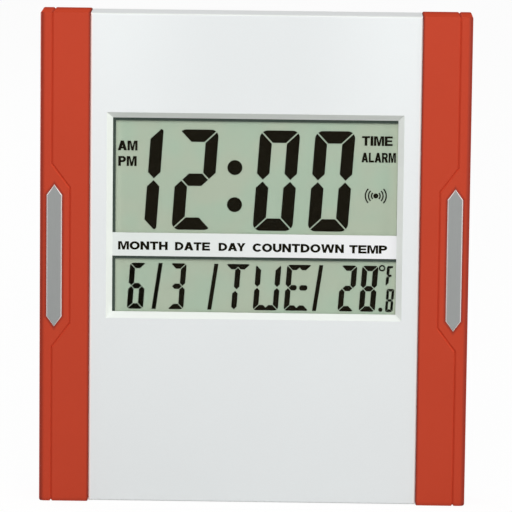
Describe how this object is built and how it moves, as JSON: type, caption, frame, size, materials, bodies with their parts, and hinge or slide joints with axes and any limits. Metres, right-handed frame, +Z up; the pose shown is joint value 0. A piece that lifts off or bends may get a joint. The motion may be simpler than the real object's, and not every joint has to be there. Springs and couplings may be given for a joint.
{
  "type": "digital calendar clock",
  "caption": "Wall and desk clock with time and date segment displays in a bevelled silver panel between red side rails, with a fold-out stand, battery bay and rear buttons.",
  "frame": {"origin": "middle of the base, at the bottom of the side rails", "axes": "+X to the right as seen from the front, +Y from the display to the back, +Z up"},
  "size_m": [0.225, 0.028, 0.259],
  "materials": {
    "front_panel": "silver paint, satin",
    "side_rail": "red paint, satin gloss",
    "trim_strip": "silver, satin",
    "rear_case": "pale grey, fine texture",
    "button": "pale grey, satin",
    "gasket": "black foam",
    "front_glass": "clear with a polarising film",
    "rear_glass": "grey-green film",
    "seal": "printed resin",
    "segments": "dark",
    "reflector": "matt foil",
    "contact_rubber": "layered conductive rubber",
    "circuit_board": "green solder mask",
    "chip_resin": "black resin",
    "crystal_can": "bright",
    "sensor_bead": "dipped",
    "screw_steel": "plated",
    "black_plastic": "moulded",
    "buzzer_brass": "rolled",
    "ceramic": "silvered ceramic",
    "lead_red": "insulated wire",
    "lead_black": "insulated wire",
    "cell_jacket": "plain jacket",
    "contact_metal": "nickel plated"
  },
  "bodies": {
    "clock_body": {"front_panel": "front_panel", "left_side_rail": "side_rail", "right_side_rail": "side_rail", "left_trim_strip": "trim_strip", "right_trim_strip": "trim_strip", "rear_case": "rear_case", "main_lcd_gasket": "gasket", "date_lcd_gasket": "gasket", "main_lcd_front_glass": "front_glass", "date_lcd_front_glass": "front_glass", "main_lcd_rear_glass": "rear_glass", "date_lcd_rear_glass": "rear_glass", "main_lcd_seal": "seal", "date_lcd_seal": "seal", "main_lcd_segments": "segments", "date_lcd_segments": "segments", "main_lcd_reflector": "reflector", "date_lcd_reflector": "reflector", "main_lcd_contact_strip": "contact_rubber", "date_lcd_contact_strip": "contact_rubber", "main_board": "circuit_board", "key_board": "circuit_board", "controller_chip": "chip_resin", "quartz_crystal": "crystal_can", "temperature_sensor": "sensor_bead", "board_screws": "screw_steel", "key_board_screws": "screw_steel", "case_screws": "screw_steel", "key_switches": "black_plastic", "board_header": "black_plastic", "buzzer_disc": "buzzer_brass", "buzzer_ceramic": "ceramic", "buzzer_leads": "lead_red", "battery_lead_red": "lead_red", "battery_lead_black": "lead_black", "battery_cells": "cell_jacket", "battery_springs": "contact_metal", "battery_contacts": "contact_metal"},
    "stand": {"stand": "rear_case"},
    "battery_door": {"battery_door": "rear_case"},
    "mode_button": {"mode_button": "button"},
    "set_button": {"set_button": "button"},
    "up_button": {"up_button": "button"},
    "down_button": {"down_button": "button"},
    "alarm_button": {"alarm_button": "button"}
  },
  "joints": [
    {"name": "stand_hinge", "type": "hinge", "parent": "clock_body", "child": "stand", "pos_m": [0, 0.011, 0.118], "axis": [1, 0, 0], "range_deg": [0, 30]},
    {"name": "door_hinge", "type": "hinge", "parent": "clock_body", "child": "battery_door", "pos_m": [0.058, 0.0124, 0.015], "axis": [-1, 0, 0], "range_deg": [0, 90]},
    {"name": "mode_press", "type": "slide", "parent": "clock_body", "child": "mode_button", "axis": [0, -1, 0], "range_m": [0, 0.0006], "stiffness_N_per_m": 400},
    {"name": "set_press", "type": "slide", "parent": "clock_body", "child": "set_button", "axis": [0, -1, 0], "range_m": [0, 0.0006], "stiffness_N_per_m": 400},
    {"name": "up_press", "type": "slide", "parent": "clock_body", "child": "up_button", "axis": [0, -1, 0], "range_m": [0, 0.0006], "stiffness_N_per_m": 400},
    {"name": "down_press", "type": "slide", "parent": "clock_body", "child": "down_button", "axis": [0, -1, 0], "range_m": [0, 0.0006], "stiffness_N_per_m": 400},
    {"name": "alarm_press", "type": "slide", "parent": "clock_body", "child": "alarm_button", "axis": [0, -1, 0], "range_m": [0, 0.0006], "stiffness_N_per_m": 400}
  ]
}
